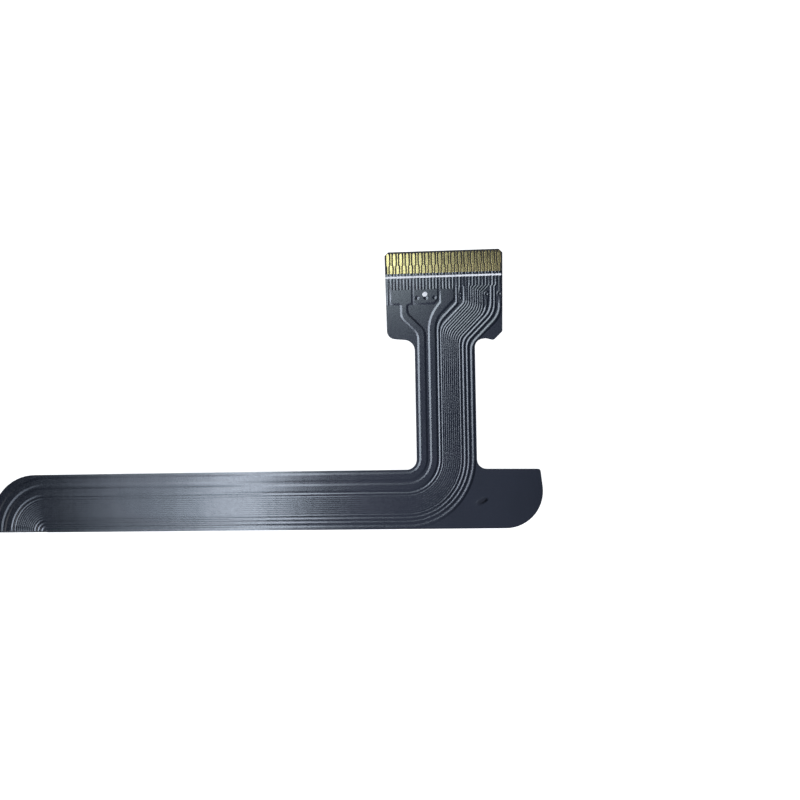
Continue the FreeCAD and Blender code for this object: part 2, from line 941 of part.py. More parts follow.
def build():
    faces = front_copper_faces()
    nodes = front_copper(faces)
    top_adhesive = top_cover_adhesive(nodes)
    nodes["back_ground_plane"] = back_plane()
    nodes["back_jumper"] = back_jumper()
    back_copper = [nodes["back_ground_plane"], nodes["back_jumper"]]
    nodes["base_film"] = base_film()
    nodes["back_cover_film"] = back_cover_film()
    nodes["back_cover_adhesive"] = back_cover_adhesive(back_copper)
    nodes["top_cover_adhesive"] = top_adhesive
    nodes["top_cover_film"] = top_cover_film(faces)
    nodes["plated_holes"] = via_barrels()
    nodes["tail_contact_plating"] = tail_plating(faces)
    nodes["leg_contact_plating"] = leg_plating()
    nodes["tail_stiffener"] = tail_stiffener()
    nodes["stiffener_adhesive"] = stiffener_adhesive()
    nodes["fold_tape"] = fold_tape()
    nodes["printed_line"] = printed_line(nodes["top_cover_film"])
    nodes["printed_dot"] = printed_dot()
    return nodes


def write(nodes):
    """Move the origin to the bottom centre of the whole box and write one file for each node."""
    os.makedirs("parts", exist_ok=True)
    whole = Part.Compound(list(nodes.values())).optimalBoundingBox()
    shift = vector(-whole.Center.x, -whole.Center.y, -whole.ZMin)
    for name, shape in nodes.items():
        placed = shape.copy()
        placed.translate(shift)
        placed.exportStep("parts/" + name + ".step")
        print(name, len(placed.Solids), "solids", round(placed.Volume, 5), "mm3", placed.isValid())
    print("box", round(whole.XLength, 3), round(whole.YLength, 3), round(whole.ZLength, 4))


write(build())
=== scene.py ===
import json
import math

import bmesh
import bpy
from mathutils import Matrix, Vector, noise
from mathutils.bvhtree import BVHTree
from mathutils.geometry import delaunay_2d_cdt, intersect_line_line_2d


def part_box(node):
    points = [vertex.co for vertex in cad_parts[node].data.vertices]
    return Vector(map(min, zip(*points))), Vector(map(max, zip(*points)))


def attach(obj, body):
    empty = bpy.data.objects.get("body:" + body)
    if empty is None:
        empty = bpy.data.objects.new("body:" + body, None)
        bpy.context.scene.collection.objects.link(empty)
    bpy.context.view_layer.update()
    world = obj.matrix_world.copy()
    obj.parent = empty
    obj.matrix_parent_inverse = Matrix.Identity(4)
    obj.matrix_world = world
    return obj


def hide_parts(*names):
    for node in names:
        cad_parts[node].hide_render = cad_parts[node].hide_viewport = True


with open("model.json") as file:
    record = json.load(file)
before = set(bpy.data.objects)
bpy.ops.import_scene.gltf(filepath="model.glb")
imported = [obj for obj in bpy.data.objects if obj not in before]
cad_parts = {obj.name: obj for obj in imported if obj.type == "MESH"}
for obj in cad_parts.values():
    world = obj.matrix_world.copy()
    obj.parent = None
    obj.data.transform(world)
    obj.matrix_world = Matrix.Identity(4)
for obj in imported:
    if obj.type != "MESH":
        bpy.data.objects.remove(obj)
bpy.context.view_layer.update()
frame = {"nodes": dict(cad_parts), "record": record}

bl_info = {
    "name": "Flat flex cable",
    "version": (1, 0, 0),
    "blender": (4, 5, 0),
    "location": "3D View > Sidebar > Flex cable",
    "description": "Embossed cover film, gold contacts, printed marks and finishes of a flat flex cable",
    "category": "Add Mesh",
}

MM = 0.001

# Levels and edges that the frame gives
RIDGE_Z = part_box("top_cover_film")[1].z
COPPER_LOW_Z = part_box("contact_23_stub")[0].z
COPPER_TOP_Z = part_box("contact_23_stub")[1].z
RIDGE_HEIGHT = COPPER_TOP_Z - COPPER_LOW_Z
FLAT_Z = RIDGE_Z - RIDGE_HEIGHT
PLATING_TOP_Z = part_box("tail_contact_plating")[1].z
COVER_END_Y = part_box("top_cover_film")[1].y
LINE_LOW, LINE_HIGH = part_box("printed_line")
DOT_LOW, DOT_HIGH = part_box("printed_dot")
INK_THICKNESS = DOT_HIGH.z - DOT_LOW.z
STRIP_LOW_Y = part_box("top_cover_film")[0].y
FOLD_Y = STRIP_LOW_Y + (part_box("top_cover_film")[1].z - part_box("top_cover_film")[0].z) / 2

# The folded leg lies left of this, with a little room beside it
LEG_SIDE_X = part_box("leg_contact_plating")[1].x + 0.2 * MM

# How close two coordinates are when they count as the same
SAME = 0.0007 * MM

# How far beside a wall a distance in plan starts to be measured
CLEAR_STEP = 0.004 * MM

# A face whose normal rises less than this is upright, and one above the next is level
UPRIGHT = 0.05
LEVEL = 0.9999

# A ridge's slope is straight in its middle and rounded over a quarter of its run at each end
STRAIGHT_SHARE = 0.75
SLOPE_STEPS = 4
RISE_BY_STEP = {0: 0.0, 1: 1 / 6, 2: 0.5, 3: 5 / 6, 4: 1.0}

# Each round of drawing crossed slopes back makes them shorter by this much
DRAW_BACK = 0.85
MOST_ROUNDS = 60

# Directions, in radians, of the rays that decide whether a point lies inside an outline
RAY_TURNS = (0.59, 2.11, 4.93)

# From a finger's plated edge inward: width of each band in mm, and its share of the whole rise
FINGER_BANDS = ((0.008, 0.62), (0.010, 0.28), (0.012, 0.10))

# The rubbed spot on the rounded end: its place and half sizes in mm, and its turn in degrees
SPOT_PLACE = (20.45, -10.2)
SPOT_REACH = (0.62, 0.26)
SPOT_TURN = 28


# Settings that a user would change

class FilmSettings(bpy.types.PropertyGroup):
    ramp_out: bpy.props.FloatProperty(
        name="Ramp outside", description="Widest run of a ridge's slope outside the copper's edge, in mm",
        default=0.125, min=0.0, max=0.3)
    ramp_in: bpy.props.FloatProperty(
        name="Ramp inside", description="Widest run of a ridge's slope inside the copper's edge, in mm",
        default=0.135, min=0.0, max=0.3)
    share: bpy.props.FloatProperty(
        name="Share of the gap", description="Part of a narrow gap or ridge that each slope may take",
        default=0.46, min=0.1, max=0.5, subtype="FACTOR")
    steepest: bpy.props.FloatProperty(
        name="Steepest slope", description="The film bridges narrow gaps rather than slope more than this",
        default=math.radians(4.4), min=math.radians(1), max=math.radians(60), subtype="ANGLE")
    full_run: bpy.props.FloatProperty(
        name="Full run", description="A slope shorter than this is less steep, in mm",
        default=0.118, min=0.01, max=0.3)
    colour: bpy.props.StringProperty(
        name="Colour", description="Film colour as sRGB hex", default="11161F")
    roughness: bpy.props.FloatProperty(
        name="Roughness", description="Roughness of the film's surface",
        default=0.135, min=0.0, max=1.0, subtype="FACTOR")


class ContactSettings(bpy.types.PropertyGroup):
    colour: bpy.props.StringProperty(
        name="Colour", description="Gold colour as sRGB hex", default="BEAF7A")
    overhang: bpy.props.FloatProperty(
        name="Overhang", description="How far the plating stands out beyond the copper's edge, in mm",
        default=0.002, min=0.0, max=0.04)
    crown: bpy.props.FloatProperty(
        name="Crown", description="How far a finger's middle stands above its plated edge, in mm",
        default=0.008, min=0.0, max=0.02)


class PrintSettings(bpy.types.PropertyGroup):
    colour: bpy.props.StringProperty(
        name="Colour", description="Ink colour as sRGB hex", default="F7F8FA")
    columns: bpy.props.IntProperty(
        name="Columns", description="Columns of faces along the printed line", default=700, min=50)
    rows: bpy.props.IntProperty(
        name="Rows", description="Rows of faces across the printed line", default=8, min=4)
    wander: bpy.props.FloatProperty(
        name="Wander", description="How far the ink's edges wander, in mm",
        default=0.016, min=0.0, max=0.05)


class StageSettings(bpy.types.PropertyGroup):
    lens: bpy.props.FloatProperty(
        name="Lens", description="Focal length on a 36 mm sensor, in mm", default=74.04, min=10.0)
    window_radiance: bpy.props.FloatProperty(
        name="Window", description="Brightness of the long window whose reflection crosses the strip",
        default=10.6, min=0.0)
    frame_radiance: bpy.props.FloatProperty(
        name="Window frame", description="Brightness of the soft edge round the window",
        default=2.5, min=0.0)
    sill_radiance: bpy.props.FloatProperty(
        name="Sill", description="Brightness of the sill beside the window, which lights the contacts",
        default=4.2, min=0.0)
    ceiling_radiance: bpy.props.FloatProperty(
        name="Ceiling", description="Brightness of the bluish ceiling above the cable",
        default=0.48, min=0.0)
    wall_radiance: bpy.props.FloatProperty(
        name="Left wall", description="Brightness of the bright wall at the left", default=1.5, min=0.0)
    lamp_radiance: bpy.props.FloatProperty(
        name="Room lamp", description="Brightness of the room light at the right", default=2.4, min=0.0)
    world_radiance: bpy.props.FloatProperty(
        name="Room", description="Brightness of the room low down, all round", default=0.9, min=0.0)


# Small helpers

def linear(code):
    """Linear RGBA from an sRGB hex colour."""
    channels = [int(code[i:i + 2], 16) / 255 for i in (0, 2, 4)]
    return tuple(c / 12.92 if c <= 0.04045 else ((c + 0.055) / 1.055) ** 2.4 for c in channels) + (1.0,)


def per_mm(size_mm):
    """Texture scale, per metre of Object coordinates, for a feature of this size."""
    return 1.0 / (size_mm * MM)


def smooth(share):
    """A share from 0 to 1 that starts and ends softly."""
    share = min(max(share, 0.0), 1.0)
    return share * share * (3 - 2 * share)


def add_node(tree, kind, settings, sockets):
    """A node with its settings, its socket values and its links."""
    new = tree.nodes.new(kind)
    for key, value in settings.items():
        setattr(new, key, value)
    for key, value in sockets.items():
        if isinstance(value, bpy.types.NodeSocket):
            tree.links.new(value, new.inputs[key])
        else:
            new.inputs[key].default_value = value
    return new


def start_material(name):
    """A new material with its tree, its Principled shader and its Object coordinates."""
    material = bpy.data.materials.new(name)
    material.use_nodes = True
    tree = material.node_tree
    tree.nodes.clear()
    shader = add_node(tree, "ShaderNodeBsdfPrincipled", {}, {})
    output = add_node(tree, "ShaderNodeOutputMaterial", {}, {"Surface": shader.outputs[0]})
    output.location = (300, 0)
    place = add_node(tree, "ShaderNodeTexCoord", {}, {}).outputs["Object"]
    return material, tree, shader, place


def pattern(tree, place, size_mm, detail=2.0, stretch=(1.0, 1.0, 1.0)):
    """Noise of one feature size in mm, stretched along the axes."""
    moved = add_node(tree, "ShaderNodeMapping", {}, {"Vector": place, "Scale": stretch})
    sockets = {"Vector": moved.outputs[0], "Scale": per_mm(size_mm), "Detail": detail}
    return add_node(tree, "ShaderNodeTexNoise", {}, sockets).outputs["Fac"]


def between(tree, factor, low, high, start=0.0, end=1.0):
    """A number that goes from low to high as the factor goes from start to end."""
    sockets = {"Value": factor, "From Min": start, "From Max": end, "To Min": low, "To Max": high}
    return add_node(tree, "ShaderNodeMapRange", {}, sockets).outputs[0]


def blend_colours(tree, factor, first, second):
    sockets = {0: factor, 6: first, 7: second}
    return add_node(tree, "ShaderNodeMix", {"data_type": "RGBA"}, sockets).outputs[2]


def bumped(tree, shader, layers):
    """Chain of bumps, each a height pattern with its real depth in mm."""
    normal = None
    for height, depth_mm in layers:
        sockets = {"Height": height, "Distance": depth_mm * MM, "Strength": 1.0}
        if normal is not None:
            sockets["Normal"] = normal
        normal = add_node(tree, "ShaderNodeBump", {}, sockets).outputs[0]
    tree.links.new(normal, shader.inputs["Normal"])


def select_only(piece):
    bpy.ops.object.select_all(action="DESELECT")
    piece.select_set(True)
    bpy.context.view_layer.objects.active = piece


def copy_of(node, name):
    """A new piece that starts from a CAD node's shape, with its loose triangles merged."""
    piece = bpy.data.objects.new(name, frame["nodes"][node].data.copy())
    bpy.context.scene.collection.objects.link(piece)
    piece.data.materials.clear()
    select_only(piece)
    bpy.ops.object.mode_set(mode="EDIT")
    bpy.ops.mesh.select_all(action="SELECT")
    bpy.ops.mesh.remove_doubles(threshold=1e-6)
    bpy.ops.mesh.dissolve_limited(angle_limit=math.radians(0.6))
    bpy.ops.mesh.select_all(action="DESELECT")
    return piece


def finish_piece(piece, material, nodes, angle=35):
    """Smooth shading, the material, a place under the root body, and the CAD nodes that the piece stands
    for hidden.
    """
    select_only(piece)
    bpy.ops.object.shade_smooth_by_angle(angle=math.radians(angle))
    piece.data.materials.clear()
    piece.data.materials.append(material)
    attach(piece, "root")
    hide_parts(*nodes)


# Materials

def film_material():
    """Black polyimide coverlay, pressed over the copper.

    Satin and cold grey; its surface is faintly wavy from the press, which breaks a reflection into
    soft streaks across the strip, and one rubbed spot lies on the rounded end.
    """
    settings = bpy.context.scene.flex_film
    material, tree, shader, place = start_material("black_coverlay_film")
    cloud = pattern(tree, place, 4.0)
    grain = pattern(tree, place, 0.16, detail=3.0)
    spot_place = add_node(tree, "ShaderNodeMapping", {"vector_type": "TEXTURE"}, {
        "Vector": place, "Location": (SPOT_PLACE[0] * MM, SPOT_PLACE[1] * MM, FLAT_Z),
        "Rotation": (0, 0, math.radians(SPOT_TURN)),
        "Scale": (SPOT_REACH[0] * MM, SPOT_REACH[1] * MM, 5 * MM)}).outputs[0]
    radius = add_node(tree, "ShaderNodeVectorMath", {"operation": "LENGTH"}, {0: spot_place})
    ragged = add_node(tree, "ShaderNodeMath", {"operation": "ADD"}, {
        0: radius.outputs["Value"], 1: between(tree, pattern(tree, place, 0.35), -0.35, 0.35)}).outputs[0]
    spot = between(tree, ragged, 1.0, 0.0, 0.45, 1.15)
    plain = blend_colours(tree, between(tree, cloud, 0.0, 1.0, 0.3, 0.7),
                          linear(settings.colour), linear("151A24"))
    rubbed = blend_colours(tree, spot, plain, linear("07090D"))
    tree.links.new(rubbed, shader.inputs["Base Color"])
    rough = between(tree, grain, settings.roughness - 0.015, settings.roughness + 0.015, 0.3, 0.7)
    polished = add_node(tree, "ShaderNodeMath", {"operation": "SUBTRACT"}, {
        0: rough, 1: between(tree, spot, 0.0, 0.09)}).outputs[0]
    tree.links.new(polished, shader.inputs["Roughness"])
    shader.inputs["IOR"].default_value = 1.7
    streaks = pattern(tree, place, 0.45, detail=2.0, stretch=(1.0, 0.05, 1.0))
    waves = pattern(tree, place, 2.2, detail=1.0, stretch=(1.0, 0.35, 1.0))
    bumped(tree, shader, [(waves, 0.004), (streaks, 0.001), (grain, 0.0003), (spot, 0.012)])
    return material


def gold_material():
    """Gold plated over nickel on etched copper.

    A pale yellow metal with a brushed-out grain from plating and handling, so each finger is
    slightly mottled.
    """
    settings = bpy.context.scene.flex_contacts
    material, tree, shader, place = start_material("plated_gold")
    mottle = pattern(tree, place, 0.11, detail=3.0)
    spread = pattern(tree, place, 0.5, detail=1.0)
    warm = blend_colours(tree, between(tree, mottle, 0.0, 1.0, 0.35, 0.65),
                         linear(settings.colour), linear("A39562"))
    tree.links.new(blend_colours(tree, between(tree, spread, 0.0, 0.5, 0.45, 0.7), warm,
                                 linear("93865C")), shader.inputs["Base Color"])
    shader.inputs["Metallic"].default_value = 1.0
    tree.links.new(between(tree, mottle, 0.10, 0.15, 0.3, 0.7), shader.inputs["Roughness"])
    bumped(tree, shader, [(mottle, 0.00025), (spread, 0.0006)])
    return material


def copper_material():
    """Rolled copper foil: a rosy metal with fine rolling lines along the strip."""
    material, tree, shader, place = start_material("rolled_copper_foil")
    lines = pattern(tree, place, 0.05, stretch=(0.04, 1.0, 1.0))
    tree.links.new(blend_colours(tree, lines, linear("B87A5C"), linear("D09A7C")),
                   shader.inputs["Base Color"])
    shader.inputs["Metallic"].default_value = 1.0
    tree.links.new(between(tree, lines, 0.28, 0.42), shader.inputs["Roughness"])
    return material


def base_film_material():
    """Polyimide base film between the contacts: dark olive brown and satin."""
    material, tree, shader, place = start_material("polyimide_base_film")
    cloud = pattern(tree, place, 0.3)
    tree.links.new(blend_colours(tree, cloud, linear("100F08"), linear("1B180C")),
                   shader.inputs["Base Color"])
    shader.inputs["Roughness"].default_value = 0.36
    shader.inputs["IOR"].default_value = 1.5
    bumped(tree, shader, [(cloud, 0.0005)])
    return material


def stiffener_material():
    """Polyimide stiffener: amber brown sheet with a fine matt grain."""
    material, tree, shader, place = start_material("polyimide_stiffener")
    cloud = pattern(tree, place, 1.5)
    grain = pattern(tree, place, 0.08, detail=3.0)
    tree.links.new(blend_colours(tree, cloud, linear("4A2F16"), linear("5A3B1C")),
                   shader.inputs["Base Color"])
    tree.links.new(between(tree, grain, 0.38, 0.52), shader.inputs["Roughness"])
    shader.inputs["IOR"].default_value = 1.7
    bumped(tree, shader, [(grain, 0.0015)])
    return material


def adhesive_material():
    """Acrylic adhesive, seen only as thin lines at the cut edges: clear straw to brown."""
    material, tree, shader, place = start_material("acrylic_adhesive")
    cloud = pattern(tree, place, 0.4)
    tree.links.new(blend_colours(tree, cloud, linear("3A3324"), linear("4B4230")),
                   shader.inputs["Base Color"])
    shader.inputs["Roughness"].default_value = 0.5
    return material


def tape_material():
    """Double-sided tape: pale tissue carrier in clear glue."""
    material, tree, shader, place = start_material("double_sided_tape")
    fibres = pattern(tree, place, 0.2, detail=4.0, stretch=(0.3, 1.0, 1.0))
    tree.links.new(blend_colours(tree, fibres, linear("B9B5A8"), linear("D8D5CA")),
                   shader.inputs["Base Color"])
    shader.inputs["Roughness"].default_value = 0.45
    return material


def ink_material():
    """White screen-printed ink: opaque, chalky, a little thin where the film rises through it."""
    settings = bpy.context.scene.flex_print
    material, tree, shader, place = start_material("white_screen_ink")
    speckle = pattern(tree, place, 0.09, detail=3.0)
    tree.links.new(blend_colours(tree, between(tree, speckle, 0.0, 1.0, 0.45, 0.75),
                                 linear(settings.colour), linear("D5DADF")),
                   shader.inputs["Base Color"])
    shader.inputs["Roughness"].default_value = 0.6
    bumped(tree, shader, [(speckle, 0.002)])
    return material


# The embossed cover film

def wall_segments(bm):
    """Every upright wall of the visible plane as a segment in plan."""
    segments = []
    for face in bm.faces:
        if abs(face.normal.z) > UPRIGHT or face.calc_center_median().z < COPPER_LOW_Z:
            continue
        along = Vector((-face.normal.y, face.normal.x, 0))
        corners = sorted(face.verts, key=lambda v: v.co.dot(along))
        segments.append((corners[0].co.xy, corners[-1].co.xy))
    return segments


def plan_tree(segments):
    """A search tree, in mm, of upright panels on the segments, for distances in plan."""
    corners = []
    panels = []
    for start, end in segments:
        first = len(corners)
        corners += [(x / MM, y / MM, z) for x, y, z in (
            (start.x, start.y, -1), (end.x, end.y, -1), (end.x, end.y, 1), (start.x, start.y, 1))]
        panels.append((first, first + 1, first + 2, first + 3))
    return BVHTree.FromPolygons(corners, panels)


def clear_run(tree, spot, heading, normals):
    """The shortest way in plan from a spot across to the next wall, beside any of these faces."""
    start = Vector((spot.x, spot.y, 0)) + heading * CLEAR_STEP
    if abs(spot.y - COVER_END_Y) < SAME:
        start.y -= CLEAR_STEP
    if abs(spot.y - FOLD_Y) < SAME:
        start.y += CLEAR_STEP
    runs = [1.0]
    for normal in normals:
        distance = tree.ray_cast(start / MM, normal)[3]
        if distance is not None:
            runs.append(distance * MM + CLEAR_STEP * heading.dot(normal))
    return min(runs)


def plan_key(co):
    """A place in plan as whole steps, so that points above each other share it."""
    return (round(co.x / SAME), round(co.y / SAME))


def is_ridge_edge(edge):
    """Whether an upright edge goes from the flat film to the top of a ridge."""
    low, high = sorted(v.co.z for v in edge.verts)
    return abs(low - FLAT_Z) < SAME and abs(high - RIDGE_Z) < SAME


def is_ridge_wall(face):
    """Whether a face is a ridge's upright side."""
    levels = [v.co.z for v in face.verts]
    return abs(face.normal.z) < UPRIGHT and min(levels) > FLAT_Z - SAME and max(levels) < RIDGE_Z + SAME


def slope_of_edge(edge, tree, settings):
    """Where the foot and the crest of a ridge's slope lie beside this upright edge."""
    normals = [face.normal.copy() for face in edge.link_faces if is_ridge_wall(face)]
    spot = edge.verts[0].co.copy()
    if len(normals) == 2:
        outward = (normals[0] + normals[1]) / max(1 + normals[0].dot(normals[1]), 0.5)
    else:
        outward = normals[0]
    heading = outward.normalized()
    gap = clear_run(tree, spot, heading, normals)
    body = clear_run(tree, spot, -heading, [-normal for normal in normals])
    foot = outward * min(settings.ramp_out * MM, settings.share * gap)
    crest = -outward * min(settings.ramp_in * MM, settings.share * body)
    if spot.x < LEG_SIDE_X:
        foot.y = max(foot.y, FOLD_Y - spot.y)
    if abs(spot.y - COVER_END_Y) < SAME:
        foot.y = 0
        crest.y = 0
    return {"spot": spot, "foot": foot, "crest": crest}


def foot_lift(slope, settings):
    """How far the foot of a short slope stays up, because the film is too stiff to go steeper."""
    run = (slope["crest"] - slope["foot"]).length
    steepness = math.tan(settings.steepest) * min(run / (settings.full_run * MM), 1)
    return max(RIDGE_HEIGHT - run * steepness * STRAIGHT_SHARE, 0.0)


def untangle(bm, slopes, part):
    """Draw the feet or the crests back wherever two of their lines cross in plan."""
    pairs = []
    for face in bm.faces:
        keys = list({plan_key(vert.co) for vert in face.verts})
        if is_ridge_wall(face) and len(keys) == 2 and all(key in slopes for key in keys):
            pairs.append(keys)
    for attempt in range(MOST_ROUNDS):
        lines = [tuple((slopes[key]["spot"] + slopes[key][part]).xy for key in keys) for keys in pairs]
        tree = plan_tree(lines)
        crossed = set()
        for first, second in tree.overlap(tree):
            if first >= second or set(pairs[first]) & set(pairs[second]):
                continue
            ends = [end / MM for end in lines[first] + lines[second]]
            if intersect_line_line_2d(*ends) is not None:
                crossed.update(pairs[first] + pairs[second])
        if not crossed:
            return
        for key in crossed:
            slopes[key][part] *= DRAW_BACK


def level_faces(bm, level):
    """The flat faces that lie at one level and look up."""
    return [face for face in bm.faces
            if face.normal.z > LEVEL and all(abs(vert.co.z - level) < SAME for vert in face.verts)]


def outline_of(faces):
    """The edges round a group of faces."""
    group = set(faces)
    return {edge for face in faces for edge in face.edges
            if sum(other in group for other in edge.link_faces) == 1}


def is_inside(tree, point):
    """Whether a point in plan lies inside the outline, by the lines that rays from it cross."""
    votes = 0
    for turn in RAY_TURNS:
        direction = Vector((math.cos(turn), math.sin(turn), 0))
        hit = tree.ray_cast(Vector((point.x, point.y, 0)), direction)[0]
        crossings = 0
        while hit is not None:
            crossings += 1
            hit = tree.ray_cast(hit + direction * 1e-5, direction)[0]
        votes += crossings % 2
    return votes >= 2


def fill_level(bm, outline):
    """Fill an outline with flat triangles, around the outlines inside it."""
    verts = list({vert for edge in outline for vert in edge.verts})
    number = {vert: index for index, vert in enumerate(verts)}
    plan = [vert.co.xy / MM for vert in verts]
    ties = [[number[vert] for vert in edge.verts] for edge in outline]
    tree = plan_tree([(edge.verts[0].co, edge.verts[1].co) for edge in outline])
    points, _, triangles, sources, _, _ = delaunay_2d_cdt(plan, ties, [], 1, 1e-6)
    corners = []
    for point, source in zip(points, sources):
        if source:
            corners.append(verts[source[0]])
        else:
            nearest = min(range(len(plan)), key=lambda index: (plan[index] - point).length)
            corners.append(bm.verts.new((point.x * MM, point.y * MM, verts[nearest].co.z)))
    for triangle in triangles:
        face = [corners[index] for index in triangle]
        middle = sum((points[index] for index in triangle), Vector((0, 0))) / 3
        if len(set(face)) == 3 and is_inside(tree, middle):
            bm.faces.new(face)


def slope_normal(slope, share):
    """The film's normal part of the way up a ridge's slope, level at its foot and crest."""
    run = slope["crest"] - slope["foot"]
    steepness = (RIDGE_HEIGHT - slope["lift"]) / (STRAIGHT_SHARE * max(run.length, SAME))
    if min(share, 1 - share) < 0.1:
        steepness = 0
    heading = run.normalized()
    return Vector((-heading.x * steepness, -heading.y * steepness, 1)).normalized()


def set_film_normals(piece, normals):
    """Shade the film's top by its real slopes, so its flats stay flat."""
    mesh = piece.data
    corners = [Vector(corner.vector) for corner in mesh.corner_normals]
    for polygon in mesh.polygons:
        heights = [mesh.vertices[index].co.z for index in polygon.vertices]
        if polygon.normal.z < 0.3 or min(heights) < FLAT_Z - SAME:
            continue
        for corner, index in zip(polygon.loop_indices, polygon.vertices):
            corners[corner] = normals.get(index, Vector((0, 0, 1)))
    mesh.normals_split_custom_set(corners)


def emboss_film(material):
    """The cover film with its upright ridge walls drawn out into soft slopes."""
    settings = bpy.context.scene.flex_film
    piece = copy_of("top_cover_film", "embossed_cover_film")
    bm = bmesh.from_edit_mesh(piece.data)
    bm.normal_update()
    tree = plan_tree(wall_segments(bm))
    upright = [edge for edge in bm.edges if is_ridge_edge(edge)]
    upright = [edge for edge in upright if any(is_ridge_wall(face) for face in edge.link_faces)]
    slopes = {}
    for edge in upright:
        slopes[plan_key(edge.verts[0].co)] = slope_of_edge(edge, tree, settings)
    untangle(bm, slopes, "foot")
    untangle(bm, slopes, "crest")
    for slope in slopes.values():
        slope["lift"] = foot_lift(slope, settings)
    bm.select_mode = {"EDGE"}
    for edge in upright:
        edge.select_set(True)
    bmesh.update_edit_mesh(piece.data)
    bpy.ops.mesh.subdivide(number_cuts=SLOPE_STEPS - 1, smoothness=0)
    bm = bmesh.from_edit_mesh(piece.data)
    bm.normal_update()
    outlines = []
    for level in (FLAT_Z, RIDGE_Z):
        faces = level_faces(bm, level)
        outline = outline_of(faces)
        bmesh.ops.delete(bm, geom=faces, context="FACES_KEEP_BOUNDARY")
        outlines.append(outline)
    normals = {}
    for vert in bm.verts:
        if vert.co.z < FLAT_Z - SAME:
            continue
        slope = slopes.get(plan_key(vert.co))
        if slope is None:
            continue
        share = (vert.co.z - FLAT_Z) / RIDGE_HEIGHT
        place = slope["spot"] + slope["foot"] * (1 - share) + slope["crest"] * share
        rise = RISE_BY_STEP[round(share * SLOPE_STEPS)]
        height = slope["lift"] + (RIDGE_HEIGHT - slope["lift"]) * rise
        vert.co = (place.x, place.y, FLAT_Z + height)
        normals[vert] = slope_normal(slope, share)
    for outline in outlines:
        fill_level(bm, outline)
    bm.verts.index_update()
    normals = {vert.index: normal for vert, normal in normals.items()}
    bmesh.update_edit_mesh(piece.data)
    bpy.ops.object.mode_set(mode="OBJECT")
    finish_piece(piece, material, ["top_cover_film"])
    set_film_normals(piece, normals)
    return piece


# Contacts

def round_fingers(material):
    """The 35 plated fingers, crowned, with the gold wrapped over the copper's sides."""
    settings = bpy.context.scene.flex_contacts
    piece = copy_of("tail_contact_plating", "gold_fingers")
    bm = bmesh.from_edit_mesh(piece.data)
    bpy.ops.mesh.select_all(action="SELECT")
    bpy.ops.transform.shrink_fatten(value=settings.overhang * MM, use_even_offset=True)
    bm = bmesh.from_edit_mesh(piece.data)
    middle_z = (COPPER_TOP_Z + PLATING_TOP_Z) / 2
    edge_z = COPPER_TOP_Z - RIDGE_HEIGHT / 4
    for vert in bm.verts:
        vert.co.z = edge_z if vert.co.z > middle_z else COPPER_LOW_Z
        vert.co.y = max(vert.co.y, COVER_END_Y)
    bm.normal_update()
    bm.select_mode = {"FACE"}
    bpy.ops.mesh.select_all(action="DESELECT")
    for face in bm.faces:
        face.select_set(face.normal.z > 0.9)
    bmesh.update_edit_mesh(piece.data)
    rise = PLATING_TOP_Z + settings.crown * MM - edge_z
    for thickness, share in FINGER_BANDS:
        bpy.ops.mesh.inset(thickness=thickness * MM, depth=0, use_even_offset=True)
        bpy.ops.transform.translate(value=(0, 0, rise * share))
    bpy.ops.object.mode_set(mode="OBJECT")
    finish_piece(piece, material, ["tail_contact_plating"], angle=50)
    tops = [polygon.normal.z > 0.9995 for polygon in piece.data.polygons]
    corners = [Vector(corner.vector) for corner in piece.data.corner_normals]
    flat = {index for top, polygon in zip(tops, piece.data.polygons) if top for index in polygon.vertices}
    for loop in piece.data.loops:
        if loop.vertex_index in flat:
            corners[loop.index] = Vector((0, 0, 1))
    piece.data.normals_split_custom_set(corners)
    return piece


# Printed marks

def film_height(film):
    """A function that gives the embossed film's height at a place in plan."""
    tree = BVHTree.FromObject(film, bpy.context.evaluated_depsgraph_get())

    def height(x, y):
        hit = tree.ray_cast(Vector((x, y, 10 * MM)), Vector((0, 0, -1)))[0]
        return hit.z if hit is not None else FLAT_Z

    return height


def close_ink(piece, material, node):
    """Give the printed sheet its thickness and finish it."""
    select_only(piece)
    bpy.ops.object.transform_apply(location=True, rotation=True, scale=True)
    thick = piece.modifiers.new("thickness", "SOLIDIFY")
    thick.thickness = INK_THICKNESS * 0.9
    thick.offset = -1
    bpy.ops.object.modifier_apply(modifier=thick.name)
    piece.data.materials.clear()
    piece.data.materials.append(material)
    bpy.ops.object.shade_smooth_by_angle(angle=math.radians(40))
    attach(piece, "root")
    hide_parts(node)


def print_line(height, material):
    """The insertion line: ink that follows the ridges, wider on each of them, and thinner over them than
    over the gaps between.
    """
    settings = bpy.context.scene.flex_print
    bpy.ops.object.select_all(action="DESELECT")
    bpy.ops.mesh.primitive_grid_add(x_subdivisions=settings.columns, y_subdivisions=settings.rows, size=1)
    piece = bpy.context.active_object
    piece.name = "white_insertion_line"
    length = LINE_HIGH.x - LINE_LOW.x
    width = LINE_HIGH.y - LINE_LOW.y
    middle = (LINE_LOW + LINE_HIGH) / 2
    for vert in piece.data.vertices:
        across = vert.co.y * 2
        x = middle.x + vert.co.x * length
        wander = noise.noise(Vector((x / (0.22 * MM), across * 0.4, 3.0))) * settings.wander * MM
        on_ridge = (height(x, middle.y) - FLAT_Z) / RIDGE_HEIGHT
        swell = 0.74 + 0.46 * on_ridge
        y = middle.y + across * width / 2 * swell + wander
        edge = 1 - abs(across) ** 6
        ink = INK_THICKNESS * (0.25 + 0.75 * edge)
        level = height(x, y) * 0.55 + (FLAT_Z + RIDGE_HEIGHT * 0.8) * 0.45
        vert.co = (x, y, max(level, height(x, y)) + ink)
    close_ink(piece, material, "printed_line")


